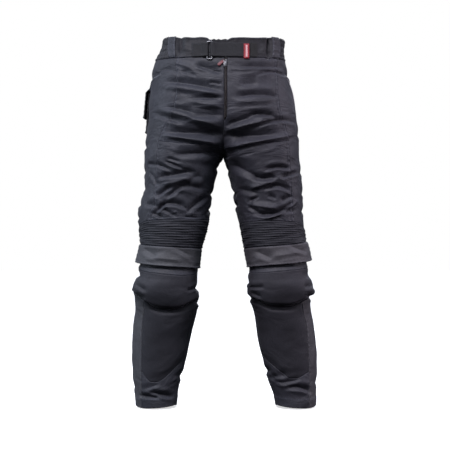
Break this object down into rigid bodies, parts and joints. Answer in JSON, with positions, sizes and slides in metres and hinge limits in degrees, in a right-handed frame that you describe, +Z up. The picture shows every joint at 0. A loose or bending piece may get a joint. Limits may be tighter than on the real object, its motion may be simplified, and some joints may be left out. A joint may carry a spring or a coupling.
{
  "type": "motorcycle trousers",
  "caption": "Hollow textile riding trousers in a worn pose, with ribbed knee stretch, padded knees, a webbing waist adjuster, a fly zip and a hip pocket.",
  "frame": {"origin": "middle of the waistband: halfway up its front, on the centre line of the body", "axes": "+Z up, the front faces -Y, +X is the wearer's left"},
  "size_m": [0.5336, 0.2985, 1.0739],
  "materials": {
    "shell_cloth": "matt charcoal woven polyester",
    "side_cloth": "matt dark grey woven polyester",
    "stretch_cloth": "ribbed dark stretch cloth",
    "armour_cloth": "close near-black woven polyester over knee padding",
    "band_cloth": "waistband cloth, gathered on elastic round the back",
    "webbing": "woven webbing",
    "hook_tape": "black hook tape",
    "red_woven_tape": "plain red woven tape",
    "steel": "darkened steel",
    "zip_tape": "coil zip",
    "moulded_pull": "moulded red pull",
    "reflective_piping": "silver-grey reflective piping",
    "pocket_cloth": "black woven pocket cloth"
  },
  "bodies": {
    "trousers": {"hip_front_R": "shell_cloth", "thigh_front_R": "shell_cloth", "side_panel_R": "shell_cloth", "seat_R": "shell_cloth", "back_thigh_R": "shell_cloth", "stretch_R": "stretch_cloth", "knee_band_R": "shell_cloth", "knee_flap_R": "side_cloth", "knee_cap_R": "armour_cloth", "shin_R": "armour_cloth", "ankle_front_R": "shell_cloth", "side_lower_R": "side_cloth", "back_calf_R": "shell_cloth", "pocket_piping_R": "reflective_piping", "hip_front_L": "shell_cloth", "thigh_front_L": "shell_cloth", "side_panel_L": "shell_cloth", "seat_L": "shell_cloth", "back_thigh_L": "shell_cloth", "stretch_L": "stretch_cloth", "knee_band_L": "shell_cloth", "knee_flap_L": "side_cloth", "knee_cap_L": "armour_cloth", "shin_L": "armour_cloth", "ankle_front_L": "shell_cloth", "side_lower_L": "side_cloth", "back_calf_L": "shell_cloth", "pocket_piping_L": "reflective_piping", "waistband_front_R": "band_cloth", "waistband_front_L": "band_cloth", "waistband_back": "band_cloth", "belt_loop_front_R": "shell_cloth", "belt_loop_back_R": "shell_cloth", "belt_loop_front_L": "shell_cloth", "belt_loop_back_L": "shell_cloth", "ring_tab": "webbing", "strap": "webbing", "adjuster_ring": "steel", "red_tag": "red_woven_tape", "hook_tape": "hook_tape", "fly_zip_L": "zip_tape", "fly_slider": "steel", "fly_bridge": "steel", "hip_pocket_R": "pocket_cloth", "hip_pocket_flap_R": "pocket_cloth"},
    "fly_pull": {"fly_pull": "moulded_pull"}
  },
  "joints": [
    {"name": "fly_pull_swing", "type": "hinge", "parent": "trousers", "child": "fly_pull", "pos_m": [0.00299, -0.12944, -0.03721], "axis": [-0.6, 0.1589, 0.7841], "range_deg": [0, 110]}
  ]
}
